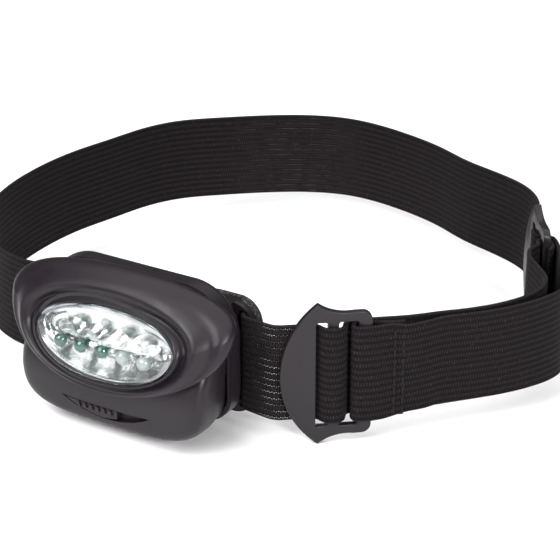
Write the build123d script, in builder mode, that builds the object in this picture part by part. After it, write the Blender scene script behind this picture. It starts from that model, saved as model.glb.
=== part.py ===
"""Headlamp: a five-LED lamp that tilts on a forehead bracket, held by an elastic headband.

Frame, in millimetres: the origin is the centre of the forehead pad's skin-side face, +Y points
from that face into the head, the lamp looks along -Y, and +Z is up. "Depth" below is the distance
forward of the pad's face, so a depth d lies at y = -d.
"""

import os
from math import atan2, cos, hypot, radians, sin, tan

from build123d import *

os.makedirs("parts", exist_ok=True)

# ---- driving dimensions -------------------------------------------------------------------------
STRAP_WIDTH = 30.0
STRAP_THICK = 1.4
GAP = 0.3                      # between bodies that move past each other

PAD_THICK = 4.0
PLATE_WIDTH, PLATE_HEIGHT, PLATE_THICK, PLATE_CORNER = 66.0, 35.0, 2.2, 7.5
PAD_WIDTH, PAD_HEIGHT = 62.0, 32.5
WAIST_HALF, WAIST_DIP = 24.0, 2.3
PLATE_BACK = PAD_THICK + 2.2   # the rails between the pad and the plate are 2.2 deep
PLATE_FRONT = PLATE_BACK + PLATE_THICK
SLOT_X, SLOT_WIDTH, SLOT_HEIGHT = 29.0, 3.4, 31.0

BUCKLE_LENGTH, BUCKLE_THICK, BUCKLE_TIP_U, BUCKLE_TIP_Z = 26.2, 2.2, 10.8, 22.0
BUCKLE_ARM_Z = 19.2            # half height of the buckle beside its slots
BUCKLE_SLOT_HEIGHT = 32.7
BUCKLE_CORNER = 2.8
SLOT_1 = (10.2, 13.6)          # along the buckle, from the crescent's edge
SLOT_2 = (16.7, 22.3)
FRONT_BUCKLE = ((43.2, -11.8), 39.0)      # crescent's edge in plan, and the buckle's heading
REAR_BUCKLE = ((68.0, 100.7), -54.2)

TILT_DEPTH, TILT_Z, TILT_PIN_R, TILT_KNUCKLE_R = 10.3, -14.0, 0.8, 1.6
LUG_INNER, LUG_OUTER = 9.0, 12.0          # hinge lugs, as distances from the middle plane

TRAY_BACK, SEAM, WALL = 12.3, 19.75, 1.4
TRAY_RIM, SHELL_RIM = SEAM - GAP / 2, SEAM + GAP / 2
BODY_HALF, BODY_LOW, BODY_HIGH = 32.0, -15.5, 25.5
OPEN_Z, OPEN_PIN_R, OPEN_KNUCKLE_R = -16.4, 0.6, 1.4

CELL_R, CELL_LENGTH, CELL_NUB_R, CELL_NUB = 5.2, 44.5, 1.9, 1.3     # AAA cells
CELL_DEPTH, CELL_PITCH, CELL_MID_Z = 18.9, 10.7, 3.2
CONTACT_X, CONTACT_THICK = 24.8, 0.4

BROW_Z = 10.0                  # height of the brow's middle
WINDOW_Z, WINDOW_A, WINDOW_B = 9.3, 22.9, 13.1
LENS_SEAT, LENS_DOME, LENS_WALL = 34.1, 7.9, 1.3
FRONT_FACE = 37.2
CHIN_HALF, CHIN_LOW, CHIN_FACE, CHIN_CORNER = 31.4, -17.2, 36.0, 8.5

LED_PITCH, LED_Z, LED_R, LED_TIP = 7.1, 7.2, 2.5, 37.7
BOARD_BACK, BOARD_FRONT = 27.4, 29.0
BOARD_WIDTH, BOARD_HEIGHT, BOARD_Z = 54.0, 33.0, 2.5
SCREWS = [(-19.5, -9.5), (19.5, -9.5), (-24.6, 15.2), (24.6, 15.2)]

RECESS_HALF, RECESS_TOP, RECESS_LOW, RECESS_FLOOR = 15.5, -10.4, -14.6, 33.8
SLIDER_END, SWITCH_TRAVEL, ACTUATOR_X, ACTUATOR_Z = 4.0, 2.6, -5.0, -12.2


# ---- helpers ------------------------------------------------------------------------------------
def at_depth(depth):
    """A plane facing forward at this depth: its x is +X and its y is +Z."""
    return Plane.XZ.offset(depth)


def save(piece, name):
    piece.part.label = name
    export_step(piece.part, f"parts/{name}.step")


def strap_edge(points, shift):
    """One edge of a strap in plan: the middle line's runs and arcs, moved left by shift.

    Each corner's arc is the largest that leaves room for its neighbours.
    """
    runs = [(end[0] - start[0], end[1] - start[1]) for start, end in zip(points, points[1:])]
    lengths = [hypot(*run) for run in runs]
    lefts = [(-run[1] / length, run[0] / length) for run, length in zip(runs, lengths)]
    corners, radii = [], []
    for index in range(1, len(points) - 1):
        (ax, ay), (bx, by) = lefts[index - 1], lefts[index]
        turn = atan2(ax * by - ay * bx, ax * bx + ay * by)
        reach = shift / (1 + ax * bx + ay * by)
        corners.append((points[index][0] + reach * (ax + bx), points[index][1] + reach * (ay + by)))
        radius = 0.45 * min(lengths[index - 1], lengths[index]) / tan(abs(turn) / 2)
        radii.append(radius - shift if turn > 0 else radius + shift)
    start, end = [(points[at][0] + shift * lefts[at][0], points[at][1] + shift * lefts[at][1])
                  for at in (0, -1)]
    if corners:
        FilletPolyline(start, *corners, end, radius=radii)
    else:
        Line(start, end)
    return start, end


def strap(name, points):
    """A length of strap on edge, whose middle line in plan runs through these points."""
    with BuildPart() as piece:
        with BuildSketch(Plane.XY.offset(-STRAP_WIDTH / 2)):
            with BuildLine():
                left_start, left_end = strap_edge(points, STRAP_THICK / 2)
                right_start, right_end = strap_edge(points, -STRAP_THICK / 2)
                Line(left_start, right_start)
                Line(left_end, right_end)
            make_face()
        extrude(amount=STRAP_WIDTH)
    save(piece, name)


def beside(buckle, side, *stations):
    """Points in plan at (along, off) from a buckle's edge; side +1 counts off outwards."""
    (x, y), heading = buckle
    along = (cos(radians(heading)), sin(radians(heading)))
    out = (along[1], -along[0]) if heading > 0 else (-along[1], along[0])
    return [(x + u * along[0] + side * w * out[0], y + u * along[1] + side * w * out[1])
            for u, w in stations]


def crescent(shift=0.0, inset=0.0):
    """The switch recess's outline: a shallow smile with its tips up."""
    half, top, low = RECESS_HALF - 4 * inset, RECESS_TOP - inset, RECESS_LOW + inset
    with BuildSketch() as smile:
        with BuildLine():
            ThreePointArc((shift - half, top), (shift, low), (shift + half, top))
            ThreePointArc((shift - half, top), (shift, top - 0.5), (shift + half, top))
        make_face()
    return smile.sketch


# ---- headband: bracket, pad and strap -----------------------------------------------------------
def top_waist():
    """The shallow dip in the top edge of the plate and the pad, which the brow sits over."""
    radius = (WAIST_HALF ** 2 + WAIST_DIP ** 2) / (2 * WAIST_DIP)
    with BuildPart(mode=Mode.PRIVATE) as dip:
        with BuildSketch(at_depth(-1)):
            with Locations((0, PLATE_HEIGHT / 2 - WAIST_DIP + radius)):
                Circle(radius)
        extrude(amount=16)
    return dip.part


with BuildPart() as bracket:
    with BuildSketch(at_depth(PLATE_BACK)):
        RectangleRounded(PLATE_WIDTH, PLATE_HEIGHT, PLATE_CORNER)
        with Locations((-SLOT_X, 0), (SLOT_X, 0)):
            RectangleRounded(SLOT_WIDTH, SLOT_HEIGHT, 1.2, mode=Mode.SUBTRACT)
    extrude(amount=PLATE_THICK)
    rail_height = PLATE_HEIGHT / 2 - 0.3 - (STRAP_WIDTH / 2 + 0.3)
    with BuildSketch(at_depth(PAD_THICK)):
        with Locations(*[(0, side * (STRAP_WIDTH / 2 + 0.3 + rail_height / 2)) for side in (-1, 1)]):
            Rectangle(52, rail_height)
    extrude(amount=PLATE_BACK - PAD_THICK)
    with BuildSketch(at_depth(PLATE_FRONT)):
        for side in (-1, 1):
            with Locations((side * 21.5, PLATE_HEIGHT / 2 - 0.75)):
                Rectangle(4.0, 1.5)
            with Locations((side * 25.2, PLATE_HEIGHT / 2 - 0.75)):
                Rectangle(1.6, 1.5)
    extrude(amount=3.4)
    for side in (-1, 1):
        with BuildSketch(Plane.YZ.offset(side * LUG_INNER)):
            with Locations((-TILT_DEPTH, TILT_Z)):
                Circle(TILT_KNUCKLE_R)
            with Locations(((-TILT_DEPTH - PLATE_FRONT) / 2, TILT_Z)):
                Rectangle(TILT_DEPTH - PLATE_FRONT, 2 * TILT_KNUCKLE_R)
            with Locations((-TILT_DEPTH, TILT_Z)):
                Circle(TILT_PIN_R, mode=Mode.SUBTRACT)
        extrude(amount=side * (LUG_OUTER - LUG_INNER))
    add(top_waist(), mode=Mode.SUBTRACT)
save(bracket, "bracket")

with BuildPart() as forehead_pad:
    with BuildSketch(at_depth(0)):
        RectangleRounded(PAD_WIDTH, PAD_HEIGHT, PLATE_CORNER)
    extrude(amount=PAD_THICK)
    add(top_waist(), mode=Mode.SUBTRACT)
save(forehead_pad, "forehead_pad")

with BuildPart() as tilt_pin:
    with BuildSketch(Plane.YZ.offset(-LUG_OUTER)):
        with Locations((-TILT_DEPTH, TILT_Z)):
            Circle(TILT_PIN_R)
    extrude(amount=2 * LUG_OUTER)
save(tilt_pin, "tilt_pin")


def buckle(name, place):
    """A flat slider: a crescent plate, a centre bar between two slots, and an end bar."""
    (x, y), heading = place
    along = Vector(cos(radians(heading)), sin(radians(heading)), 0)
    face = Plane(origin=(x, y, 0), x_dir=along, z_dir=along.cross(Vector(0, 0, 1)))
    with BuildPart() as piece:
        with BuildSketch(face.offset(-BUCKLE_THICK / 2)) as outline:
            with BuildLine():
                ThreePointArc((BUCKLE_TIP_U, BUCKLE_TIP_Z), (0, 0), (BUCKLE_TIP_U, -BUCKLE_TIP_Z))
                for side in (-1, 1):
                    ThreePointArc((BUCKLE_TIP_U, side * BUCKLE_TIP_Z),
                                  (15.5, side * (BUCKLE_ARM_Z + 0.4)), (21.0, side * BUCKLE_ARM_Z))
                Polyline((21.0, -BUCKLE_ARM_Z), (BUCKLE_LENGTH, -BUCKLE_ARM_Z),
                         (BUCKLE_LENGTH, BUCKLE_ARM_Z), (21.0, BUCKLE_ARM_Z))
            make_face()
            fillet(outline.vertices().group_by(Axis.X)[-1], BUCKLE_CORNER)
            for start, end in (SLOT_1, SLOT_2):
                with Locations(((start + end) / 2, 0)):
                    RectangleRounded(end - start, BUCKLE_SLOT_HEIGHT, 0.8, mode=Mode.SUBTRACT)
        extrude(amount=BUCKLE_THICK)
    save(piece, name)


buckle("buckle_front", FRONT_BUCKLE)
buckle("buckle_rear", REAR_BUCKLE)

# The strap in plan. Beside a buckle, "off" counts to the side that the strap's free run leaves on.
behind_y = -(PLATE_BACK - STRAP_THICK / 2 - 0.1)
over_bar = BUCKLE_THICK / 2 + STRAP_THICK / 2 + 0.15
clear_of_fold = BUCKLE_THICK / 2 + 1.5 * STRAP_THICK + 0.4
slot_1_mid = sum(SLOT_1) / 2
bar_mid = (SLOT_1[1] + SLOT_2[0]) / 2
weave_out = [(0, -over_bar), (slot_1_mid - 0.9, -over_bar), (slot_1_mid + 0.9, over_bar),
             (bar_mid, over_bar)]
weave_back = [(bar_mid, over_bar), (18.1, over_bar), (19.0, -clear_of_fold), (27.5, -clear_of_fold)]
around_bar = [(26.4, -over_bar), (21.2, -over_bar), (20.6, 0), (21.2, over_bar), (26.4, over_bar)]

strap("strap_behind_plate", [(-24, behind_y), (24, behind_y)])
slot_front = PLATE_FRONT + STRAP_THICK / 2 + 0.6
strap("strap_right",
      [(24, behind_y), (SLOT_X, behind_y), (SLOT_X, -slot_front), (36.0, -slot_front - 0.9),
       (40.0, -10.9)] + beside(FRONT_BUCKLE, 1, *weave_out))
strap("strap_inner",
      beside(FRONT_BUCKLE, 1, *weave_back)
      + [(70.5, 14.9), (78.5, 24.0), (86.5, 32.4), (91.5, 40.2), (95.0, 50.5), (94.0, 57.5),
         (87.5, 64.0), (81.6, 69.8), (79.4, 75.2)]
      + beside(REAR_BUCKLE, 1, (25.0, -over_bar), *around_bar[1:], (29.0, 0.2)))
strap("strap_outer",
      beside(FRONT_BUCKLE, 1, (36.0, -0.9), (30.5, -0.9), *around_bar, (30.5, 0.9), (40.0, 0.9))
      + [(78.6, 20.9), (87.0, 28.9), (94.6, 39.6), (100.2, 53.0), (99.6, 60.5), (92.6, 68.2)]
      + beside(REAR_BUCKLE, 1, (29.5, clear_of_fold), (19.0, clear_of_fold), (18.1, -over_bar),
               (bar_mid, -over_bar)))
back_turn, left_turn = (-52.0, 132.2), (-74.6, 112.8)
back_meets_left = ((back_turn[0] + left_turn[0]) / 2, (back_turn[1] + left_turn[1]) / 2)
strap("strap_back",
      beside(REAR_BUCKLE, 1, (bar_mid, -over_bar), (slot_1_mid + 0.9, -over_bar),
             (slot_1_mid - 0.9, over_bar), (0, over_bar))
      + [(66.6, 111.6), (59.0, 120.4), (47.5, 125.8), (29.5, 131.8), (18.0, 138.9), (5.0, 143.4),
         (-10.0, 146.9), (-24.0, 147.4), (-38.0, 142.0), back_turn, back_meets_left])
strap("strap_left",
      [back_meets_left, left_turn, (-81.0, 100.4), (-84.6, 84.0), (-88.6, 70.0),
       (-89.8, 53.0), (-88.4, 36.0), (-84.5, 20.0), (-76.0, 5.0), (-63.5, -6.2), (-50.0, -11.3),
       (-38.0, -slot_front - 0.7), (-SLOT_X, -slot_front), (-SLOT_X, behind_y), (-24, behind_y)])

with BuildPart() as strap_stitching:
    (stitch_start, stitch_end) = beside(FRONT_BUCKLE, 1, (32.5, 1.6), (35.0, 1.6))
    heading = Vector(cos(radians(FRONT_BUCKLE[1])), sin(radians(FRONT_BUCKLE[1])), 0)
    for point in (stitch_start, stitch_end):
        with BuildSketch(Plane(origin=(*point, 0), x_dir=heading, z_dir=heading.cross(Vector(0, 0, 1)))):
            with GridLocations(1, 3.0, 1, 9):
                Rectangle(0.5, 2.2)
        extrude(amount=0.3)
save(strap_stitching, "strap_stitching")


# ---- lamp base: battery tray --------------------------------------------------------------------
def body_section(depth, inset=0.0):
    """The lamp's outline at the seam between its two shells, drawn at this depth."""
    with BuildSketch(at_depth(depth)) as section:
        with Locations((0, (BODY_LOW + BODY_HIGH) / 2)):
            Rectangle(2 * (BODY_HALF - inset), BODY_HIGH - BODY_LOW - 2 * inset)
        fillet(section.vertices().group_by(Axis.Y)[0], 9.0 - inset)
        fillet(section.vertices().group_by(Axis.Y)[-1], 15.0 - inset)
    return section.sketch


def rod(start, length, depth, z, radius):
    """A round bar along X."""
    with BuildPart() as bar:
        with BuildSketch(Plane.YZ.offset(start)):
            with Locations((-depth, z)):
                Circle(radius)
        extrude(amount=length)
    return bar.part


def knuckle(start, length, depth, z, radius, block, hole):
    """A hinge knuckle along X, on a block (depth from, depth to, low z, high z), bored for its pin."""
    with BuildPart() as piece:
        with BuildSketch(Plane.YZ.offset(start)):
            with Locations((-depth, z)):
                Circle(radius)
            with Locations((-(block[0] + block[1]) / 2, (block[2] + block[3]) / 2)):
                Rectangle(block[1] - block[0], block[3] - block[2])
            with Locations((-depth, z)):
                Circle(hole, mode=Mode.SUBTRACT)
        extrude(amount=length)
    return piece.part


cell_heights = [CELL_MID_Z + (row - 1) * CELL_PITCH for row in range(3)]
lug_width = LUG_OUTER - LUG_INNER
knuckle_half = LUG_INNER - GAP

with BuildPart() as rear_tray:
    extrude(body_section(TRAY_BACK), amount=TRAY_RIM - TRAY_BACK, dir=(0, -1, 0))
    fillet(rear_tray.edges().group_by(Axis.Y)[-1], 3.0)
    extrude(body_section(TRAY_BACK + WALL, WALL), amount=TRAY_RIM - TRAY_BACK, dir=(0, -1, 0),
            mode=Mode.SUBTRACT)
    for side in (-1, 1):                       # walls that the contacts stand against
        with BuildSketch(at_depth(TRAY_BACK + WALL)):
            with Locations((side * (CONTACT_X + CONTACT_THICK + 0.65), CELL_MID_Z)):
                Rectangle(1.3, 31.0)
        extrude(amount=TRAY_RIM - TRAY_BACK - WALL)
    for between in (-0.5, 0.5):                # ridges between the cells
        with BuildSketch(Plane.YZ.offset(-18)):
            with Locations((-(TRAY_BACK + WALL), CELL_MID_Z + between * CELL_PITCH)):
                Polygon((0, -1.8), (0, 1.8), (-1.6, 0), align=None)
        extrude(amount=36)
    with BuildSketch(at_depth(TRAY_RIM - 0.45)):            # groove for the seal
        add(body_section(TRAY_RIM - 0.45, 0.35))
        add(body_section(TRAY_RIM - 0.45, 1.0), mode=Mode.SUBTRACT)
    extrude(amount=0.45, mode=Mode.SUBTRACT)
    add(rod(-knuckle_half - GAP / 2, 2 * knuckle_half + GAP, SEAM, OPEN_Z, OPEN_KNUCKLE_R + GAP),
        mode=Mode.SUBTRACT)
    tilt_block = (TILT_DEPTH, TRAY_BACK + 0.5, TILT_Z - TILT_KNUCKLE_R + 0.1, TILT_Z + TILT_KNUCKLE_R)
    add(knuckle(-knuckle_half, 2 * knuckle_half, TILT_DEPTH, TILT_Z, TILT_KNUCKLE_R, tilt_block,
                TILT_PIN_R + 0.05))
    for start in (-LUG_OUTER, LUG_INNER):
        add(knuckle(start, lug_width, SEAM, OPEN_Z, OPEN_KNUCKLE_R,
                    (SEAM - 2.2, SEAM, OPEN_Z - 1.2, OPEN_Z + 1.2), OPEN_PIN_R))
save(rear_tray, "rear_tray")

with BuildPart() as tray_seal:
    with BuildSketch(at_depth(TRAY_RIM - 0.45)):
        add(body_section(TRAY_RIM - 0.45, 0.4))
        add(body_section(TRAY_RIM - 0.45, 0.95), mode=Mode.SUBTRACT)
    extrude(amount=0.6)
    add(rod(-LUG_OUTER - GAP, 2 * (LUG_OUTER + GAP), SEAM, OPEN_Z, OPEN_KNUCKLE_R + GAP),
        mode=Mode.SUBTRACT)
save(tray_seal, "tray_seal")

with BuildPart() as opening_pin:
    add(rod(-LUG_OUTER, 2 * LUG_OUTER, SEAM, OPEN_Z, OPEN_PIN_R))
save(opening_pin, "opening_pin")

# Neighbouring cells point opposite ways: each one's nub meets a plate, and its base a spring.
cell_ways = (1, -1, 1)
for number, (way, height) in enumerate(zip(cell_ways, cell_heights), start=1):
    with BuildPart() as battery:
        add(rod(way * (CONTACT_X - CELL_LENGTH), way * (CELL_LENGTH - CELL_NUB), CELL_DEPTH,
                height, CELL_R))
        add(rod(way * (CONTACT_X - CELL_NUB - 0.2), way * (CELL_NUB + 0.2), CELL_DEPTH,
                height, CELL_NUB_R))
    save(battery, f"battery_{number}")

with BuildPart() as contact_springs:
    for way, height in zip(cell_ways, cell_heights):
        base, tip = -way * CONTACT_X, way * (CONTACT_X - CELL_LENGTH - 0.05)
        with BuildSketch(at_depth(CELL_DEPTH - 2.0)):
            with BuildLine():
                Polyline((base, height - 3.4), (tip, height - 0.4), (tip, height + 0.4),
                         (base, height + 3.4), (base, height + 2.9),
                         (tip - way * 0.35, height), (base, height - 2.9), close=True)
            make_face()
        extrude(amount=4.0)
save(contact_springs, "contact_springs")


def contacts(name, side, spans, feeler):
    """The contact plates at one end of the cells, with a finger that meets the board."""
    with BuildPart() as piece:
        for low, high in spans:
            with BuildSketch(at_depth(TRAY_BACK + WALL + 0.4)):
                with Locations((side * (CONTACT_X + CONTACT_THICK / 2), (low + high) / 2)):
                    Rectangle(CONTACT_THICK, high - low)
            extrude(amount=9.0)
        with BuildSketch(at_depth(TRAY_BACK + WALL + 8.0)):
            with Locations((side * (CONTACT_X + CONTACT_THICK / 2), feeler)):
                Rectangle(CONTACT_THICK, 2.5)
        extrude(amount=BOARD_BACK - 0.1 - (TRAY_BACK + WALL + 8.0))
    save(piece, name)


low_cell, mid_cell, high_cell = cell_heights
contacts("left_contacts", -1, [(low_cell - 4, mid_cell + 4), (high_cell - 4, high_cell + 4)],
         high_cell - 2.7)
contacts("right_contacts", 1, [(low_cell - 4, low_cell + 4), (mid_cell - 4, high_cell + 4)],
         low_cell)


# ---- lamp front: shell, lens, reflector, board --------------------------------------------------
def brow(sections, inset=0.0):
    """The helmet-shaped brow, lofted through ellipses given as (depth, half width, half height)."""
    with BuildPart(mode=Mode.PRIVATE) as shape:
        for depth, a, b in sections:
            with BuildSketch(at_depth(depth)):
                with Locations((0, BROW_Z)):
                    Ellipse(a - inset, b - inset)
        loft()
    return shape.part


def chin(back, face, inset, edge):
    """The block under the window that carries the switch."""
    half, low = CHIN_HALF - inset, CHIN_LOW + inset
    with BuildPart(mode=Mode.PRIVATE) as shape:
        with BuildSketch(at_depth(back)) as section:
            with Locations((0, (low + BROW_Z - 4) / 2)):
                Rectangle(2 * half, BROW_Z - 4 - low)
            fillet(section.vertices().group_by(Axis.Y)[0], CHIN_CORNER - inset)
        extrude(amount=face - back)
        front = shape.faces().sort_by(Axis.Y)[0]
        fillet(front.edges().sort_by(Axis.Z)[:-1], edge)
    return shape.part


def window(depth, a=WINDOW_A, b=WINDOW_B):
    """An ellipse round the window's middle, in a sketch at this depth."""
    with BuildSketch(at_depth(depth)) as section:
        with Locations((0, WINDOW_Z)):
            Ellipse(a, b)
    return section.sketch


def window_bevel():
    """The flare that opens the window towards its front rim."""
    with BuildPart() as flare:
        with BuildSketch(at_depth(FRONT_FACE - 1.6)):
            with Locations((0, WINDOW_Z)):
                Ellipse(WINDOW_A, WINDOW_B)
        with BuildSketch(at_depth(FRONT_FACE + 0.1)):
            with Locations((0, WINDOW_Z)):
                Ellipse(WINDOW_A + 2.4, WINDOW_B + 1.4)
        loft()
    return flare.part


def ring(start, length, outer, wall):
    """An elliptical ring round the window's middle."""
    with BuildPart() as band:
        with BuildSketch(at_depth(start)):
            with Locations((0, WINDOW_Z)):
                Ellipse(*outer)
                Ellipse(outer[0] - wall, outer[1] - wall, mode=Mode.SUBTRACT)
        extrude(amount=length)
    return band.part


with BuildPart() as front_shell:
    add(brow([(SHELL_RIM, 33.4, 15.7), (26.0, 37.0, 17.6), (32.0, 35.8, 17.0),
              (FRONT_FACE, 29.5, 15.4)]))
    add(chin(SHELL_RIM, CHIN_FACE, 0.0, 3.5))
    add(brow([(SHELL_RIM - 0.01, 31.6, 13.9), (26.0, 35.2, 15.8), (31.0, 34.0, 15.2),
              (LENS_SEAT + 0.4, 26.6, 14.6)]), mode=Mode.SUBTRACT)
    add(chin(SHELL_RIM - 0.01, RECESS_FLOOR - 1.2, 1.6, 1.0), mode=Mode.SUBTRACT)
    extrude(window(LENS_SEAT), amount=6.0, dir=(0, -1, 0), mode=Mode.SUBTRACT)
    extrude(window(BOARD_FRONT + 1, WINDOW_A + 1.6, WINDOW_B + 1.6),
            amount=LENS_SEAT + 0.4 - BOARD_FRONT - 1, dir=(0, -1, 0), mode=Mode.SUBTRACT)
    add(window_bevel(), mode=Mode.SUBTRACT)
    with BuildSketch(at_depth(RECESS_FLOOR)):
        add(crescent())
    extrude(amount=4.0, mode=Mode.SUBTRACT)
    with BuildSketch(at_depth(RECESS_FLOOR - 2.0)):         # slot for the switch's actuator
        with Locations((ACTUATOR_X + SWITCH_TRAVEL / 2, ACTUATOR_Z)):
            Rectangle(2.6 + SWITCH_TRAVEL, 1.9)
    extrude(amount=2.5, mode=Mode.SUBTRACT)
    for x, z in SCREWS:                        # bosses that the board is screwed to
        with BuildSketch(at_depth(BOARD_FRONT)):
            with Locations((x, z)):
                Circle(1.8)
        extrude(amount=35.0 - BOARD_FRONT)
        with BuildSketch(at_depth(BOARD_FRONT)):
            with Locations((x, z)):
                Circle(0.8)
        extrude(amount=2.6, mode=Mode.SUBTRACT)
    for start in (-LUG_OUTER - GAP / 2, LUG_INNER - GAP / 2):
        add(rod(start, lug_width + GAP, SEAM, OPEN_Z, OPEN_KNUCKLE_R + GAP), mode=Mode.SUBTRACT)
    add(knuckle(-knuckle_half, 2 * knuckle_half, SEAM, OPEN_Z, OPEN_KNUCKLE_R,
                (SHELL_RIM, SEAM + 2.6, OPEN_Z - 0.9, OPEN_Z + 1.6), OPEN_PIN_R + 0.05))
    add(rod(-knuckle_half - 1, 2 * knuckle_half + 2, SEAM, OPEN_Z, OPEN_PIN_R + 0.05),
        mode=Mode.SUBTRACT)
save(front_shell, "front_shell")

with BuildPart() as lens:
    ball = Sphere(1, mode=Mode.PRIVATE)
    middle = Location((0, -LENS_SEAT, WINDOW_Z))
    outer = (WINDOW_A - 0.25, LENS_DOME, WINDOW_B - 0.25)
    add(scale(ball, by=outer, mode=Mode.PRIVATE).moved(middle))
    inner = tuple(size - LENS_WALL for size in outer)
    add(scale(ball, by=inner, mode=Mode.PRIVATE).moved(middle), mode=Mode.SUBTRACT)
    split(bisect_by=Plane.XZ.offset(LENS_SEAT), keep=Keep.TOP)
    add(ring(LENS_SEAT - 1.2, 1.2, (WINDOW_A + 1.3, WINDOW_B + 1.3), 2.9))
save(lens, "lens")

with BuildPart() as lens_gasket:
    add(ring(LENS_SEAT, 0.4, (WINDOW_A + 1.2, WINDOW_B + 1.2), 1.0))
save(lens_gasket, "lens_gasket")

led_places = [((number - 2) * LED_PITCH, LED_Z) for number in range(5)]

with BuildPart() as reflector:
    with BuildSketch(at_depth(BOARD_FRONT + 1.3)):
        with Locations((0, WINDOW_Z)):
            Ellipse(WINDOW_A - 1.6, WINDOW_B - 1.6)
        with Locations(*led_places):
            Circle(LED_R + 0.2, mode=Mode.SUBTRACT)
    extrude(amount=0.8)
    add(ring(BOARD_FRONT + 0.1, LENS_SEAT - 1.3 - (BOARD_FRONT + 0.1),
             (WINDOW_A - 1.6, WINDOW_B - 1.6), 0.8))
save(reflector, "reflector")

for number, (x, z) in enumerate(led_places, start=1):
    with BuildPart() as led:
        with BuildSketch(at_depth(BOARD_FRONT)):
            with Locations((x, z)):
                Circle(LED_R + 0.4)
        extrude(amount=1.0)
        with BuildSketch(at_depth(BOARD_FRONT)):
            with Locations((x, z)):
                Circle(LED_R)
        extrude(amount=LED_TIP - LED_R - BOARD_FRONT)
        with Locations((x, -(LED_TIP - LED_R), z)):
            Sphere(LED_R)
        with BuildSketch(at_depth(BOARD_BACK - 0.9)):
            with Locations((x - 1.27, z), (x + 1.27, z)):
                Circle(0.25)
        extrude(amount=BOARD_FRONT - BOARD_BACK + 1.0)
    save(led, f"led_{number}")

with BuildPart() as circuit_board:
    with BuildSketch(at_depth(BOARD_BACK)):
        with Locations((0, BOARD_Z)):
            RectangleRounded(BOARD_WIDTH, BOARD_HEIGHT, 6.5)
        with Locations(*SCREWS):
            Circle(1.05, mode=Mode.SUBTRACT)
        with Locations(*[(x + side * 1.27, z) for x, z in led_places for side in (-1, 1)]):
            Circle(0.32, mode=Mode.SUBTRACT)
    extrude(amount=BOARD_FRONT - BOARD_BACK)
save(circuit_board, "circuit_board")

with BuildPart() as resistors:
    for z in (-5.0, -1.0, 3.0):
        add(rod(6.0, 4.0, BOARD_BACK - 0.9, z, 0.85))
save(resistors, "resistors")

with BuildPart() as switch_case:
    with BuildSketch(at_depth(BOARD_FRONT)):
        with Locations((ACTUATOR_X + SWITCH_TRAVEL / 2, ACTUATOR_Z)):
            Rectangle(9.0, 2.8)
    extrude(amount=RECESS_FLOOR - 1.4 - BOARD_FRONT)
    with BuildSketch(at_depth(BOARD_FRONT + 1.9)):
        with Locations((ACTUATOR_X + SWITCH_TRAVEL / 2, ACTUATOR_Z)):
            Rectangle(2.6 + SWITCH_TRAVEL, 1.9)
    extrude(amount=3.0, mode=Mode.SUBTRACT)
save(switch_case, "switch_case")

with BuildPart() as board_screws:
    for x, z in SCREWS:
        with BuildSketch(at_depth(BOARD_BACK - 1.1)):
            with Locations((x, z)):
                Circle(1.8)
        extrude(amount=1.1)
        with BuildSketch(at_depth(BOARD_BACK - 0.1)):
            with Locations((x, z)):
                Circle(0.78)
        extrude(amount=4.0)
save(board_screws, "board_screws")

# ---- switch: the ribbed slider and its actuator -------------------------------------------------
with BuildPart() as switch_slider:
    with BuildSketch(at_depth(RECESS_FLOOR + 0.15)):
        add(crescent(inset=0.3))
        add(crescent(shift=-SWITCH_TRAVEL, inset=0.3), mode=Mode.INTERSECT)
        with Locations((SLIDER_END - 20, ACTUATOR_Z)):
            Rectangle(40, 10, mode=Mode.INTERSECT)
    extrude(amount=1.9)
    with BuildSketch(at_depth(RECESS_FLOOR + 0.15 + 1.9)):
        for rib in range(6):
            with Locations(Location((-9.1 + 2.2 * rib, -12.0), 20)):
                Rectangle(0.9, 1.6)
    extrude(amount=0.6)
save(switch_slider, "switch_slider")

with BuildPart() as switch_actuator:
    with BuildSketch(at_depth(BOARD_FRONT + 2.1)):
        with Locations((ACTUATOR_X, ACTUATOR_Z)):
            Rectangle(2.0, 1.3)
    extrude(amount=RECESS_FLOOR + 0.15 - (BOARD_FRONT + 2.1))
save(switch_actuator, "switch_actuator")
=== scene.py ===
"""Headlamp: five LEDs behind a clear dome, on a ribbed elastic headband. All lengths below are in
millimetres in the part's frame (x right, y towards the head, z up) and become metres in mm()."""

import math

import bmesh
import bpy
import numpy as np
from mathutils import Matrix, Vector


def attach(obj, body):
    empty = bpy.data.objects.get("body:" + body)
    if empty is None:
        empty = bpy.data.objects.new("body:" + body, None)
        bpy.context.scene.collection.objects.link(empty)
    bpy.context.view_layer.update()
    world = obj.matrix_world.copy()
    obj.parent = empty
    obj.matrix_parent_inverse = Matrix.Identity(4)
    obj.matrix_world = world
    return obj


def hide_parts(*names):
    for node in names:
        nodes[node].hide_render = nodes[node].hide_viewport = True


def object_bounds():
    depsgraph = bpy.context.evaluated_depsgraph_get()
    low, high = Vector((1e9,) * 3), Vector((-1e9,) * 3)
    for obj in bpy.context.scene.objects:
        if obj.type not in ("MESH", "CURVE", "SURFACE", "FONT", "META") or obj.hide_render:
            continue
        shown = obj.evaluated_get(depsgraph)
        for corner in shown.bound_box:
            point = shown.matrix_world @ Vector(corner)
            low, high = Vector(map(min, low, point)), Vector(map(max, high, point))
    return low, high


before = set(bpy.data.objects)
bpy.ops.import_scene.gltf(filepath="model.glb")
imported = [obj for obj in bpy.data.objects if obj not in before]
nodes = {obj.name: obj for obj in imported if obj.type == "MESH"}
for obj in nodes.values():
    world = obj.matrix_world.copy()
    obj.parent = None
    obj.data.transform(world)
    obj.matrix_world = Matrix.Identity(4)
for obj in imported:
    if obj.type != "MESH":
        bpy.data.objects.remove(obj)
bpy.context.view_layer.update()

# ---- sizes shared with the CAD model ------------------------------------------------------------
STRAP_WIDTH, STRAP_THICK = 30.0, 1.4
RIB_COUNT = 15
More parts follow.
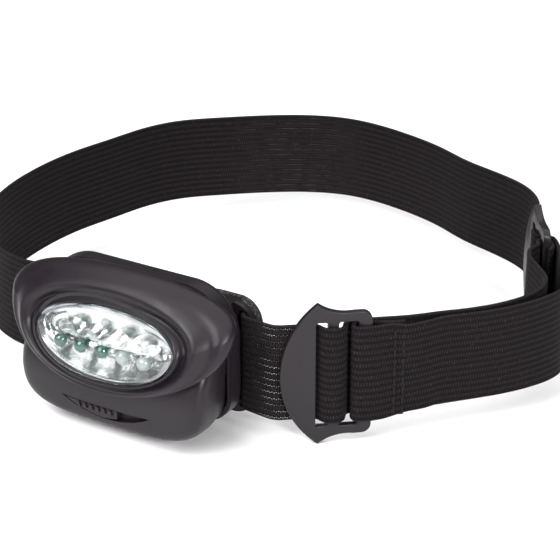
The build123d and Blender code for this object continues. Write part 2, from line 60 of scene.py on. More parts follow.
FRONT_BUCKLE = ((43.2, -11.8), 39.0)
REAR_BUCKLE = ((68.0, 100.7), -54.2)
SLOT_1, SLOT_2 = (10.2, 13.6), (16.7, 22.3)
BUCKLE_HALF = 1.1
PLATE_BACK, PLATE_FRONT = 6.2, 8.4
SLOT_X = 29.0
LED_PITCH, LED_Z, LED_R, LED_TIP, BOARD_FRONT = 7.1, 7.2, 2.5, 38.3, 29.0
FLOOR_GAP, FLOOR_HALF = 0.02, 3000.0
SEED = 7

# ---- sizes of the visual pieces -----------------------------------------------------------------
# a chin block: half width, lowest, highest, depth of its face, soft edge, depth of its back
CHIN_OUTSIDE = (31.6, -18.0, 15.5, 36.2, 1.0, 19.9)
CHIN_INSIDE = (29.6, -16.3, 13.5, 32.4, 0.6, 19.5)
CRESCENT_HALF, CRESCENT_TOP, CRESCENT_LOW, CRESCENT_SAG = 15.5, -10.4, -14.6, 0.5
CRESCENT_FLOOR, BEYOND_CHIN = 33.8, 38.0                    # depths that the recess is cut between
SLOT_LEFT, SLOT_RIGHT, SLOT_LOW, SLOT_HIGH = -7.3, -0.1, -13.2, -11.2
SLOT_DEPTHS = (31.0, 35.0)
WINDOW_DEPTHS = (29.3, 43.0)
LENS_MIDDLE, LENS_RISE, LENS_BEND = 35.2, 4.4, 0.85         # the dome over its bevelled band
LENS_BAND = [(1.0, -1.2), (0.995, 0.2), (0.975, 0.9), (0.925, 1.5)]   # share of the rim, rise
# the chin narrows behind a depth, and its face leans back above a height
CHIN_TAPER, TAPER_BEHIND, TAPER_RUN = 0.035, 27.0, 7.1
CHIN_LEAN, LEAN_ABOVE = 0.030, -6.0
# profiles turned about an LED's own line, as (radius, depth)
CUP_PROFILE = [(2.75, 30.0), (2.85, 30.9), (3.25, 32.3), (3.4, 32.3), (3.1, 30.0)]
CORE_PROFILE = [(0.02, 32.6), (0.7, 32.7), (0.9, 34.6), (1.80, 35.8), (2.05, 36.5), (1.85, 37.3),
                (1.1, 37.9), (0.02, 38.0)]
# where the strap is stretched open, in mm along it: it opens over the first two, closes over the rest
OPEN_BESIDE_BUCKLE, OPEN_AT_BACK = (552, 560, 563, 567), (248, 268, 285, 305)


# ---- small helpers ------------------------------------------------------------------------------
def mm(points):
    return np.asarray(points, float) * 0.001


def new_piece(name, verts, faces, material, body):
    """A mesh piece from points in millimetres, riding on a CAD body."""
    mesh = bpy.data.meshes.new(name)
    mesh.from_pydata([tuple(v) for v in mm(verts)], [], [tuple(int(i) for i in f) for f in faces])
    mesh.validate()
    mesh.polygons.foreach_set("use_smooth", [True] * len(mesh.polygons))
    piece = bpy.data.objects.new(name, mesh)
    bpy.context.collection.objects.link(piece)
    mesh.materials.append(material)
    if body:
        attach(piece, body)
    return piece


def grid(rows, cols, wrap_cols=True, wrap_rows=False, first=0):
    """Quads over a rows x cols block of points numbered row by row."""
    faces = []
    for i in range(rows if wrap_rows else rows - 1):
        for j in range(cols if wrap_cols else cols - 1):
            a, b = i * cols + j, i * cols + (j + 1) % cols
            c, d = ((i + 1) % rows) * cols + (j + 1) % cols, ((i + 1) % rows) * cols + j
            faces.append((first + a, first + b, first + c, first + d))
    return faces


def face_outwards(piece):
    shape = bmesh.new()
    shape.from_mesh(piece.data)
    bmesh.ops.recalc_face_normals(shape, faces=shape.faces)
    shape.to_mesh(piece.data)
    shape.free()


def oval(a, b, power, z, angles):
    """Points (x, z) round a superellipse; power 2 is an ellipse and more is squarer."""
    c, s = np.cos(angles), np.sin(angles)
    return np.stack([a * np.sign(c) * np.abs(c) ** (2 / power),
                     z + b * np.sign(s) * np.abs(s) ** (2 / power)], 1)


def smooth_through(keys, count):
    """Values along a smooth curve through keys, an array of rows, without overshoot at plateaus."""
    keys = np.asarray(keys, float)
    at = np.linspace(0, len(keys) - 1, count)
    low = np.minimum(at.astype(int), len(keys) - 2)
    t = (at - low)[:, None]
    padded = np.concatenate([2 * keys[:1] - keys[1:2], keys, 2 * keys[-1:] - keys[-2:-1]])
    p0, p1, p2, p3 = padded[low], padded[low + 1], padded[low + 2], padded[low + 3]
    return 0.5 * (2 * p1 + (p2 - p0) * t + (2 * p0 - 5 * p1 + 4 * p2 - p3) * t ** 2
                  + (3 * p1 - p0 - 3 * p2 + p3) * t ** 3)


# ---- materials ----------------------------------------------------------------------------------
def material(name, colour, roughness=0.5, metallic=0.0):
    """A new material and what is needed to add nodes to it."""
    made = bpy.data.materials.new(name)
    made.use_nodes = True
    tree = made.node_tree
    shader = tree.nodes["Principled BSDF"]
    shader.inputs["Base Color"].default_value = (*colour, 1)
    shader.inputs["Roughness"].default_value = roughness
    shader.inputs["Metallic"].default_value = metallic
    return made, tree, shader


def link(tree, source, target):
    tree.links.new(source, target)


def node(tree, kind, **settings):
    made = tree.nodes.new(kind)
    for key, value in settings.items():
        if key in made.inputs:
            made.inputs[key].default_value = value
        else:
            setattr(made, key, value)
    return made


def object_noise(tree, scale, detail=4.0, rough=0.6, offset=(0, 0, 0)):
    """Noise fixed to the object, at this scale in features per metre."""
    place = node(tree, "ShaderNodeTexCoord")
    shift = node(tree, "ShaderNodeMapping")
    shift.inputs["Location"].default_value = offset
    noise = node(tree, "ShaderNodeTexNoise", Scale=scale, Detail=detail, Roughness=rough)
    link(tree, place.outputs["Object"], shift.inputs["Vector"])
    link(tree, shift.outputs["Vector"], noise.inputs["Vector"])
    return noise.outputs["Fac"]


def remap(tree, value, low, high, to_low, to_high):
    made = node(tree, "ShaderNodeMapRange")
    made.inputs["From Min"].default_value = low
    made.inputs["From Max"].default_value = high
    made.inputs["To Min"].default_value = to_low
    made.inputs["To Max"].default_value = to_high
    link(tree, value, made.inputs["Value"])
    return made.outputs["Result"]


def arithmetic(tree, operation, *values):
    """The result of a Math node. Each value is a socket or a number."""
    made = node(tree, "ShaderNodeMath", operation=operation)
    for socket, value in zip(made.inputs, values):
        if isinstance(value, (int, float)):
            socket.default_value = value
        else:
            link(tree, value, socket)
    return made.outputs[0]


def colour_between(tree, factor, first, second):
    """A mix of two colours. Each is a socket or (red, green, blue)."""
    made = node(tree, "ShaderNodeMix", data_type="RGBA")
    factor_socket, first_socket, second_socket = (made.inputs[i] for i in (0, 6, 7))
    link(tree, factor, factor_socket)
    for socket, colour in ((first_socket, first), (second_socket, second)):
        if isinstance(colour, tuple):
            socket.default_value = (*colour, 1)
        else:
            link(tree, colour, socket)
    return made.outputs[2]


def add_bump(tree, shader, height, strength, distance):
    made = node(tree, "ShaderNodeBump", Strength=strength, Distance=distance)
    link(tree, height, made.inputs["Height"])
    link(tree, made.outputs["Normal"], shader.inputs["Normal"])


def moulded_plastic(name, colour, roughness, grain=9000.0, depth=0.00002):
    """Moulded plastic: a fine spark-eroded grain, faint cloudy colour and uneven polish."""
    made, tree, shader = material(name, colour, roughness)
    shader.inputs["Specular IOR Level"].default_value = 0.27
    cloud = object_noise(tree, 60, 3)
    dark = tuple(c * 0.88 for c in colour)
    light = tuple(min(1, c * 1.12) for c in colour)
    link(tree, colour_between(tree, cloud, dark, light), shader.inputs["Base Color"])
    link(tree, remap(tree, object_noise(tree, 220, 5, offset=(3, 1, 2)), 0.3, 0.7,
                     roughness - 0.06, roughness + 0.07), shader.inputs["Roughness"])
    add_bump(tree, shader, object_noise(tree, grain, 3, 0.7), 0.35, depth)
    return made


def plain_metal(name, colour, roughness):
    made, tree, shader = material(name, colour, roughness, 1.0)
    link(tree, remap(tree, object_noise(tree, 900, 4), 0.3, 0.7, roughness * 0.7, roughness * 1.4),
         shader.inputs["Roughness"])
    add_bump(tree, shader, object_noise(tree, 3000, 2), 0.15, 0.00002)
    return made


housing = moulded_plastic("housing_plastic", (0.0095, 0.0068, 0.0096), 0.38)
bracket_plastic = moulded_plastic("bracket_plastic", (0.008, 0.0062, 0.0072), 0.38)
buckle_plastic = moulded_plastic("buckle_plastic", (0.0115, 0.0088, 0.0112), 0.36, 7000.0, 0.00003)
slider_plastic = moulded_plastic("slider_plastic", (0.013, 0.0098, 0.0118), 0.42)
switch_plastic = moulded_plastic("switch_plastic", (0.012, 0.012, 0.013), 0.45)
board_mask = moulded_plastic("board_mask", (0.03, 0.16, 0.06), 0.30, 2500.0)
resistor_lacquer = moulded_plastic("resistor_lacquer", (0.52, 0.40, 0.24), 0.30)
seal_rubber = moulded_plastic("seal_rubber", (0.014, 0.014, 0.015), 0.65)
steel = plain_metal("steel", (0.62, 0.62, 0.63), 0.28)
nickel = plain_metal("nickel", (0.74, 0.72, 0.68), 0.22)


def foam_material():
    """Dark open-cell foam with paler flecks."""
    made, tree, shader = material("speckled_foam", (0.05, 0.05, 0.05), 0.95)
    place = node(tree, "ShaderNodeTexCoord")
    cells = node(tree, "ShaderNodeTexVoronoi", Scale=1400.0)
    link(tree, place.outputs["Object"], cells.inputs["Vector"])
    flecks = remap(tree, object_noise(tree, 1500, 2, 0.5), 0.52, 0.66, 0.0, 1.0)
    link(tree, colour_between(tree, flecks, (0.010, 0.0095, 0.010), (0.075, 0.072, 0.070)),
         shader.inputs["Base Color"])
    add_bump(tree, shader, cells.outputs["Distance"], 0.9, 0.0004)
    return made


def cell_sleeve():
    """The printed sleeve of a cell: a dark band, a pale band and bare metal at its ends."""
    made, tree, shader = material("cell_sleeve", (0.2, 0.2, 0.2), 0.25)
    place = node(tree, "ShaderNodeTexCoord")
    axes = node(tree, "ShaderNodeSeparateXYZ")
    link(tree, place.outputs["Object"], axes.inputs["Vector"])
    ends = remap(tree, arithmetic(tree, "ABSOLUTE", axes.outputs["X"]), 0.0193, 0.0194, 0.0, 1.0)
    band = remap(tree, axes.outputs["X"], 0.0060, 0.0062, 0.0, 1.0)
    printed = colour_between(tree, band, (0.03, 0.05, 0.10), (0.42, 0.30, 0.10))
    link(tree, colour_between(tree, ends, printed, (0.6, 0.6, 0.6)), shader.inputs["Base Color"])
    link(tree, ends, shader.inputs["Metallic"])
    return made


def strap_material():
    """Ribbed elastic webbing. U runs along the strap and V across it, both in millimetres."""
    made, tree, shader = material("elastic_webbing", (0.014, 0.012, 0.013), 0.85)
    shader.inputs["Sheen Weight"].default_value = 0.02
    shader.inputs["Sheen Roughness"].default_value = 0.45
    shader.inputs["Specular IOR Level"].default_value = 0.12
    place = node(tree, "ShaderNodeUVMap", uv_map="strap")
    axes = node(tree, "ShaderNodeSeparateXYZ")
    link(tree, place.outputs["UV"], axes.inputs["Vector"])

    along, across = axes.outputs["X"], axes.outputs["Y"]

    def times(first, second):
        return arithmetic(tree, "MULTIPLY", first, second)

    def wave(source, per_mm, phase=0.0):
        """A sine from 0 to 1, this many times per millimetre."""
        angle = arithmetic(tree, "ADD", times(source, 2 * math.pi * per_mm), phase)
        return remap(tree, arithmetic(tree, "SINE", angle), -1, 1, 0, 1)

    def opened(run, most):
        """How far the strap is stretched open along a run, fading to 0 at both its ends."""
        open_from, open_to, close_from, close_to = run
        return times(remap(tree, along, open_from, open_to, 0, most),
                     remap(tree, along, close_from, close_to, 1, 0))

    rib = arithmetic(tree, "FLOOR", times(across, RIB_COUNT / STRAP_WIDTH))
    offset = times(rib, math.pi)                                # every other rib is half a pick on
    picks = wave(along, 1.25, offset)
    thread = times(picks, wave(across, RIB_COUNT * 3 / STRAP_WIDTH))
    raised = wave(across, RIB_COUNT / STRAP_WIDTH, -math.pi / 2)                # 0 in the grooves
    # the weave pattern times painted shade that darkens the grooves between the ribs
    weave_and_groove_shade_mask = times(remap(tree, raised, 0.0, 0.7, 0.08, 1.0), remap(tree, thread, 0.05, 0.75, 0.25, 1.0))
    weave_with_painted_groove_shade = colour_between(tree, weave_and_groove_shade_mask, (0.0010, 0.0007, 0.0008), (0.0180, 0.0135, 0.0145))
    # pale painted glints on the crests of the picks
    glint = node(tree, "ShaderNodeTexNoise", Scale=0.9, Detail=2.0)
    link(tree, place.outputs["UV"], glint.inputs["Vector"])
    painted_glint_specks = times(remap(tree, glint.outputs["Fac"], 0.60, 0.72, 0, 1), remap(tree, picks, 0.80, 0.95, 0, 1))
    with_painted_glints = colour_between(tree, painted_glint_specks, weave_with_painted_groove_shade, (0.045, 0.040, 0.040))

    # rows of pinholes in the grooves, where the strap is stretched open, painted as pale dots: painted light
    # of the backdrop showing through them
    dots = wave(along, 0.85, offset)
    holes = times(remap(tree, raised, 0.03, 0.16, 1.0, 0.0), remap(tree, dots, 0.84, 0.97, 0.0, 1.0))
    open_here = arithmetic(tree, "ADD", opened(OPEN_BESIDE_BUCKLE, 1), opened(OPEN_AT_BACK, 0.20))
    patchy = remap(tree, object_noise(tree, 240, 2, 0.5), 0.42, 0.60, 0.15, 1.0)
    painted_light_through_pinholes = times(times(holes, open_here), patchy)
    link(tree, colour_between(tree, painted_light_through_pinholes, with_painted_glints, (0.62, 0.60, 0.60)), shader.inputs["Base Color"])
    fuzz = times(object_noise(tree, 2600, 3, 0.7), 0.6)
    add_bump(tree, shader, arithmetic(tree, "ADD", thread, fuzz), 0.7, 0.00018)
    return made


def clear_plastic(name, tint, strength, roughness=0.03):
    """Thin clear plastic: it lets light straight through and keeps its gloss."""
    made, tree, shader = material(name, tint, roughness)
    output = tree.nodes["Material Output"]
    through = node(tree, "ShaderNodeBsdfTransparent")
    through.inputs["Color"].default_value = (*tint, 1)
    gloss = node(tree, "ShaderNodeBsdfGlossy")
    gloss.inputs["Roughness"].default_value = roughness
    edge = node(tree, "ShaderNodeLayerWeight", Blend=0.5)
    steep = arithmetic(tree, "POWER", edge.outputs["Facing"], 4.0)
    amount = remap(tree, steep, 0.0, 1.0, strength, 0.75)
    mix = node(tree, "ShaderNodeMixShader")
    link(tree, amount, mix.inputs[0])
    link(tree, through.outputs[0], mix.inputs[1])
    link(tree, gloss.outputs[0], mix.inputs[2])
    link(tree, mix.outputs[0], output.inputs["Surface"])
    tree.nodes.remove(shader)
    add_bump(tree, gloss, object_noise(tree, 90, 2), 0.05, 0.0002)
    return made


foam = foam_material()
sleeve = cell_sleeve()
webbing = strap_material()
thread_material = moulded_plastic("thread", (0.006, 0.005, 0.0055), 0.85)
lens_clear = clear_plastic("lens_clear", (0.97, 0.98, 0.98), 0.03)
lens_band = clear_plastic("lens_band", (0.62, 0.64, 0.67), 0.22, 0.16)
led_clear = clear_plastic("led_clear", (0.90, 0.91, 0.91), 0.06)


# ---- the strap ----------------------------------------------------------------------------------
def beside(buckle, *stations):
    """Points in plan at (along, off) from a buckle's crescent edge; off counts outwards."""
    (x, y), heading = buckle
    along = (math.cos(math.radians(heading)), math.sin(math.radians(heading)))
    out = (along[1], -along[0]) if heading > 0 else (-along[1], along[0])
    return [(x + u * along[0] + w * out[0], y + u * along[1] + w * out[1]) for u, w in stations]


def strap_route():
    """The strap's middle line in plan, from one sewn end to the other, and named places on it."""
    over = BUCKLE_HALF + STRAP_THICK / 2 + 0.15
    clear = BUCKLE_HALF + 1.5 * STRAP_THICK + 0.4
    slot_mid = sum(SLOT_1) / 2
    behind, front = -(PLATE_BACK - STRAP_THICK / 2 - 0.1), -(PLATE_FRONT + STRAP_THICK / 2 + 0.6)
    around = [(26.4, -over), (21.2, -over), (20.6, 0), (21.2, over), (26.4, over)]
    outer = (beside(FRONT_BUCKLE, (36.0, -0.9), (30.5, -0.9), *around, (30.5, 0.9), (40.0, 0.9))
             + [(78.6, 20.9), (87.0, 28.9), (94.6, 39.6), (100.2, 53.0), (99.6, 60.5), (92.6, 68.2)]
             + beside(REAR_BUCKLE, (29.5, clear), (19.0, clear), (18.1, -over)))
    back = (beside(REAR_BUCKLE, (slot_mid + 0.9, -over), (slot_mid - 0.9, over), (0, over))
            + [(66.6, 111.6), (59.0, 120.4), (47.5, 125.8), (29.5, 131.8), (18.0, 138.9),
               (5.0, 143.4), (-10.0, 146.9), (-24.0, 147.4), (-38.0, 142.0), (-52.0, 132.2)])
    left = [(-74.6, 112.8), (-81.0, 100.4), (-84.6, 84.0), (-88.6, 70.0), (-89.8, 53.0),
            (-88.4, 36.0), (-84.5, 20.0), (-76.0, 5.0), (-63.5, -6.2), (-50.0, -11.3),
            (-38.0, front - 0.7), (-SLOT_X, front), (-SLOT_X, behind)]
    right = ([(SLOT_X, behind), (SLOT_X, front), (36.0, front - 0.9), (40.0, -10.9)]
             + beside(FRONT_BUCKLE, (0, -over), (slot_mid - 0.9, -over), (slot_mid + 0.9, over)))
    inner = (beside(FRONT_BUCKLE, (18.1, over), (19.0, -clear), (27.5, -clear))
             + [(70.5, 14.9), (78.5, 24.0), (86.5, 32.4), (91.5, 40.2), (95.0, 50.5), (94.0, 57.5),
                (87.5, 64.0), (81.6, 69.8), (79.4, 75.2)]
             + beside(REAR_BUCKLE, (25.0, -over), *around[1:], (29.0, 0.2)))
    return outer + back + left + right + inner


def rounded(points, step):
    """Points every step along straight runs joined by the largest arcs that fit."""
    points = [np.array(p, float) for p in points]
    line = [points[0]]
    for before, corner, after in zip(points, points[1:], points[2:]):
        first, second = corner - before, after - corner
        reach = 0.45 * min(np.linalg.norm(first), np.linalg.norm(second))
        start = corner - first / np.linalg.norm(first) * reach
        end = corner + second / np.linalg.norm(second) * reach
        for t in np.linspace(0, 1, 9):
            line.append((1 - t) ** 2 * start + 2 * t * (1 - t) * corner + t ** 2 * end)
    line.append(points[-1])
    line = np.array(line)
    lengths = np.concatenate([[0], np.cumsum(np.linalg.norm(np.diff(line, axis=0), axis=1))])
    count = int(lengths[-1] / step) + 1
    at = np.linspace(0, lengths[-1], count)
    return np.stack([np.interp(at, lengths, line[:, axis]) for axis in (0, 1)], 1), at


def smoothed(values, width):
    """Values averaged along the strap over this many samples."""
    reach = int(3 * width)
    kernel = np.exp(-0.5 * (np.arange(-reach, reach + 1) / width) ** 2)
    kernel /= kernel.sum()
    padded = np.concatenate([np.repeat(values[:1], reach, 0), values, np.repeat(values[-1:], reach, 0)])
    return np.stack([np.convolve(padded[:, axis], kernel, "valid") for axis in range(values.shape[1])], 1)


def ease(value, low, high):
    """0 below low, 1 above high and an even curve between them."""
    t = np.clip((np.asarray(value, float) - low) / (high - low), 0, 1)
    return t * t * (3 - 2 * t)


def nearest(line, point):
    """The number of the line's point that is nearest to this one."""
    return int(np.argmin(np.linalg.norm(line - np.array(point), axis=1)))


def make_strap():
    """The whole strap as one ribbed band along its route, with U and V in millimetres."""
    step, per_rib = 0.9, 6
    line, along = rounded(strap_route(), step)
    free = np.ones(len(line))                  # 0 where buckles or the bracket hold the strap
    for (x, y), reach in [(beside(FRONT_BUCKLE, (19.0, 0))[0], 25.0),
                          (beside(REAR_BUCKLE, (19.0, 0))[0], 22.0), ((0, -6), 38.0)]:
        free *= ease(np.hypot(line[:, 0] - x, line[:, 1] - y), reach, reach + 12)
    line = line + (smoothed(line, 5.0) - line) * free[:, None]
    line = smoothed(line, 0.8)
    tangent = np.gradient(line, axis=0)
    tangent /= np.linalg.norm(tangent, axis=1)[:, None]
    normal = np.stack([tangent[:, 1], -tangent[:, 0]], 1)

    across = np.linspace(-1, 1, RIB_COUNT * per_rib + 1)
    rib = np.abs(np.sin(math.pi * RIB_COUNT * (across + 1) / 2)) ** 0.55
    half = 0.40 + 0.24 * rib
    half[[0, -1]] = 0.22
    # the doubled side is drawn in a little where it leaves the front buckle
    start = nearest(line[: len(line) // 3], beside(FRONT_BUCKLE, (27.0, 0.9))[0])
    gone = along - along[start]
    outer_end = along[nearest(line[: len(line) // 2], beside(REAR_BUCKLE, (29.5, 3.6))[0])]
    doubled = ease(gone, 2, 11) * (1 - ease(along, outer_end - 30, outer_end))
    drawn_in = 1.9 * doubled * (1 - 0.45 * ease(gone, 30, 70))
    ripple = np.exp(-((gone - 9.0) / 4.0) ** 2) * np.sin((gone - 6.0) / 2.1) * 0.55
    wander = np.random.default_rng(SEED).normal(size=(len(line), 2))
    wander = smoothed(wander, 22.0) * 2.6 * free[:, None]

    verts, u, v = [], [], []
    order = list(range(len(across))) + list(range(len(across) - 1, -1, -1))
    sides = [1] * len(across) + [-1] * len(across)
    for i, (point, out) in enumerate(zip(line, normal)):
        low = -STRAP_WIDTH / 2 + drawn_in[i] + 0.5 * wander[i, 0]
        high = STRAP_WIDTH / 2 - 0.15 * drawn_in[i] + 0.5 * wander[i, 1]
        for j, side in zip(order, sides):
            level = (across[j] + 1) / 2
            push = side * half[j] + ripple[i] * (0.6 + 0.4 * across[j])
            spot = point + out * push
            verts.append((spot[0], spot[1], low + (high - low) * level))
            u.append(along[i])
            v.append(across[j] * STRAP_WIDTH / 2)
    ring = len(order)
    faces = grid(len(line), ring)
    faces += [tuple(range(ring)), tuple(range((len(line) - 1) * ring, len(line) * ring))[::-1]]
    piece = new_piece("headband_strap", verts, faces, webbing, "headband")
    face_outwards(piece)
    layer = piece.data.uv_layers.new(name="strap")
    index = np.zeros(len(piece.data.loops), np.int32)
    piece.data.loops.foreach_get("vertex_index", index)
    layer.data.foreach_set("uv", np.stack([np.array(u)[index], np.array(v)[index]], 1).ravel())
    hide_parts("strap_behind_plate", "strap_left", "strap_back", "strap_outer",
                "strap_right", "strap_inner")


# ---- the front shell ----------------------------------------------------------------------------
ANGLES = np.linspace(0, 2 * math.pi, 192, endpoint=False)
WINDOW_POWER = 2.12


def around_window(stations, count=None, power=WINDOW_POWER):
    """Rings of points round the window. A station is (half width, reach up, reach down, middle
    height, depth at the sides, depth at the top, depth at the bottom)."""
    rows = smooth_through(stations, count) if count else np.asarray(stations, float)
    c, s = np.cos(ANGLES), np.sin(ANGLES)
    rings = []
    for a, up, down, middle, depth_side, depth_top, depth_low in rows:
        x = a * np.sign(c) * np.abs(c) ** (2 / power)
        z = middle + np.where(s > 0, up, down) * np.sign(s) * np.abs(s) ** (2 / power)
        lean, bow = (depth_top - depth_low) / 2, (depth_top + depth_low) / 2 - depth_side
        rings.append(np.stack([x, -(depth_side + lean * s + bow * s ** 2), z], 1))
    return rings


def closed_stack(rings):
    """Points and faces of rings joined in order, with a cap on the first and on the last."""
    count = len(rings[0])
    verts = np.concatenate(rings)
    faces = grid(len(rings), count)
    faces += [tuple(range(count)), tuple(range((len(rings) - 1) * count, len(rings) * count))[::-1]]
    return verts, faces


def between_heights(rows):
    """Stations from rows that give the highest and lowest point instead of the two reaches."""
    return [(half, top - middle, middle - low, middle, *depths) for half, top, low, middle, *depths in rows]


# The face leans back: its lower lip is well in front of its brow. Each row is (half width, highest,
# lowest, middle height, depth at the sides, at the top and at the bottom).
HELMET = between_heights([                    # from the window's rim, over the crest, to the seam
    (23.5, 18.7, -0.4, 10.6, 35.4, 31.2, 39.8), (23.8, 19.0, -0.6, 10.6, 35.9, 31.7, 40.3),
    (24.4, 19.5, -1.0, 10.8, 35.7, 31.5, 40.4), (25.0, 20.0, -1.4, 11.0, 35.0, 30.9, 40.0),
    (25.9, 20.7, -1.8, 11.3, 33.3, 30.4, 39.7), (27.5, 22.2, -2.3, 12.0, 34.6, 30.6, 40.3),
    (29.3, 23.6, -2.8, 12.8, 34.9, 30.4, 40.5), (31.2, 25.1, -3.2, 13.6, 33.3, 29.3, 40.6),
    (33.2, 26.4, -3.4, 14.5, 31.3, 27.5, 40.5), (35.2, 27.2, -3.5, 15.4, 30.3, 25.3, 40.0),
    (36.7, 27.5, -3.5, 16.2, 28.6, 23.3, 39.0), (37.4, 27.4, -3.2, 16.7, 26.6, 21.8, 37.2),
    (37.0, 26.9, -2.5, 16.9, 24.3, 21.0, 33.2), (35.6, 26.3, -1.0, 16.9, 22.1, 20.4, 26.8),
    (33.9, 25.8, 1.0, 16.9, 20.2, 19.9, 21.5), (33.4, 25.6, 2.0, 16.9, 19.9, 19.9, 19.9)])
HELMET_INSIDE = between_heights([
    (24.2, 19.2, -0.8, 10.6, 33.6, 29.8, 37.8), (29.0, 22.8, -1.6, 12.6, 32.0, 28.2, 37.8),
    (34.0, 25.5, -2.0, 15.0, 28.8, 24.0, 37.0), (35.6, 25.6, -1.8, 16.0, 25.2, 21.5, 33.4),
    (33.2, 24.6, 0.5, 16.2, 21.2, 20.5, 23.4), (31.8, 24.0, 2.0, 16.2, 19.7, 19.7, 19.7)])


def chin_rings(half, low, high, face, edge, back):
    """Rings of a rounded block: a slightly crowned face, a soft edge, and straight sides."""
    middle, reach = (low + high) / 2, (high - low) / 2
    stations = [(0.02, 0.0), (0.35, 0.05), (0.66, 0.25), (0.84, 0.65), (0.93, 1.3), (0.977, 2.5),
                (0.996, 4.2), (1.0, 7.0), (1.0, 11.0), (0.995, face - back)]
    rows = smooth_through([(share, face - drop * edge if drop < 7 else face - drop)
                           for share, drop in stations], 34)
    rings = []
    for share, depth in rows:
        taper = 1 - CHIN_TAPER * max(0.0, (TAPER_BEHIND - depth) / TAPER_RUN)
        ring = oval(half * share * taper, reach * share, 3.8, middle, ANGLES)
        lean = CHIN_LEAN * np.clip(ring[:, 1] - LEAN_ABOVE, 0, None) ** 2
        rings.append(np.stack([ring[:, 0], -np.clip(depth - lean, back, None), ring[:, 1]], 1))
    return rings


def crescent_outline(count=24):
    """The recess in the chin: a slightly sagging top edge over a deeper curve."""
    x = np.linspace(-CRESCENT_HALF, CRESCENT_HALF, count)
    drop = 1 - (x / CRESCENT_HALF) ** 2
    lower = CRESCENT_TOP + (CRESCENT_LOW - CRESCENT_TOP) * drop
    upper = CRESCENT_TOP - CRESCENT_SAG * drop
    return np.concatenate([np.stack([x, lower], 1), np.stack([x[::-1][1:-1], upper[::-1][1:-1]], 1)])


def prism(outline, depth_back, depth_front):
    """A closed prism between two depths, from an outline of (x, z)."""
    outline = np.asarray(outline, float)
    rings = [np.stack([outline[:, 0], np.full(len(outline), -depth), outline[:, 1]], 1)
             for depth in (depth_back, depth_front)]
    return closed_stack(rings)


def combine(piece, operation, verts, faces):
    """Adds a closed solid to the piece, or takes it away."""
    tool = new_piece("tool", verts, faces, piece.data.materials[0], None)
    face_outwards(tool)
    change = piece.modifiers.new("combine", "BOOLEAN")
    change.object, change.operation, change.solver = tool, operation, "EXACT"
    shape = bpy.data.meshes.new_from_object(piece.evaluated_get(bpy.context.evaluated_depsgraph_get()))
    piece.modifiers.clear()
    old = piece.data
    piece.data = shape
    bpy.data.meshes.remove(old)
    bpy.data.objects.remove(tool)


def smooth_by_angle(piece, degrees):
    piece.data.polygons.foreach_set("use_smooth", [True] * len(piece.data.polygons))
    piece.data.set_sharp_from_angle(angle=math.radians(degrees))


def make_housing():
    """The helmet and the chin as one shell, hollowed, with the window, the recess and the slot."""
    piece = new_piece("lamp_housing", *closed_stack(around_window(HELMET, 70)), housing, None)
    face_outwards(piece)
    combine(piece, "UNION", *closed_stack(chin_rings(*CHIN_OUTSIDE)))
    combine(piece, "DIFFERENCE", *closed_stack(around_window(HELMET_INSIDE, 30)))
    combine(piece, "DIFFERENCE", *closed_stack(chin_rings(*CHIN_INSIDE)))
    window = [(*HELMET[0][:4], depth, depth, depth) for depth in WINDOW_DEPTHS]
    combine(piece, "DIFFERENCE", *closed_stack(around_window(window)))
    combine(piece, "DIFFERENCE", *prism(crescent_outline(), CRESCENT_FLOOR, BEYOND_CHIN))
    slot = [(SLOT_LEFT, SLOT_LOW), (SLOT_RIGHT, SLOT_LOW), (SLOT_RIGHT, SLOT_HIGH), (SLOT_LEFT, SLOT_HIGH)]
    combine(piece, "DIFFERENCE", *prism(slot, *SLOT_DEPTHS))
    smooth_by_angle(piece, 32)
    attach(piece, "lamp_front")
    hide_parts("front_shell")


# ---- lens, reflector and LEDs -------------------------------------------------------------------
def lens_rings(inset, thickness):
    """Rings of the lens from its rim to its middle: a steep bevelled band, then the dome."""
    a, up, down, middle, *rim = HELMET[0]
    edge, edge_rise = LENS_BAND[-1]
    dome = [(share, edge_rise + LENS_RISE * (1 - (share / edge) ** 2) ** LENS_BEND)
            for share in edge * np.cos(np.linspace(0, math.pi / 2, 24))[1:]]
    stations = []
    for share, rise in LENS_BAND + dome:
        base = np.array(rim) * share ** 2 + LENS_MIDDLE * (1 - share ** 2)
        share = max(share, 0.002)
        stations.append(((a - inset) * share, (up - inset) * share, (down - inset) * share,
                         middle - 1.5 * (1 - share ** 2), *(base + rise - thickness)))
    return around_window(stations)


def make_lens():
    """The clear dome as one closed skin, with its bevelled band in a frosted material."""
    outside, inside = lens_rings(0.1, 0.0), lens_rings(1.0, 1.0)
    rings = outside + inside[::-1]
    verts = np.concatenate(rings)
    piece = new_piece("lens_dome", verts, grid(len(rings), len(ANGLES), wrap_rows=True),
                      lens_clear, "lamp_front")
    face_outwards(piece)
    piece.data.materials.append(lens_band)
    bands = np.zeros(len(piece.data.polygons), np.int32)
    bands[len(ANGLES):4 * len(ANGLES)] = 1
    piece.data.polygons.foreach_set("material_index", bands)
    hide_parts("lens")
    return piece


def silver_material():
    made, tree, shader = material("vacuum_silver", (0.74, 0.74, 0.74), 0.2, 1.0)
    link(tree, remap(tree, object_noise(tree, 500, 3), 0.3, 0.7, 0.14, 0.26),
         shader.inputs["Roughness"])
    add_bump(tree, shader, object_noise(tree, 160, 3), 0.35, 0.0006)
    return made


def lathe(profile, centre, turns=40):
    """Rings of (radius, depth) about a line along y through centre (x, z)."""
    angle = np.linspace(0, 2 * math.pi, turns, endpoint=False)
    return [np.stack([centre[0] + radius * np.cos(angle), np.full(turns, -depth),
                      centre[1] + radius * np.sin(angle)], 1) for radius, depth in profile]


LED_PLACES = [((number - 2) * LED_PITCH, LED_Z) for number in range(5)]


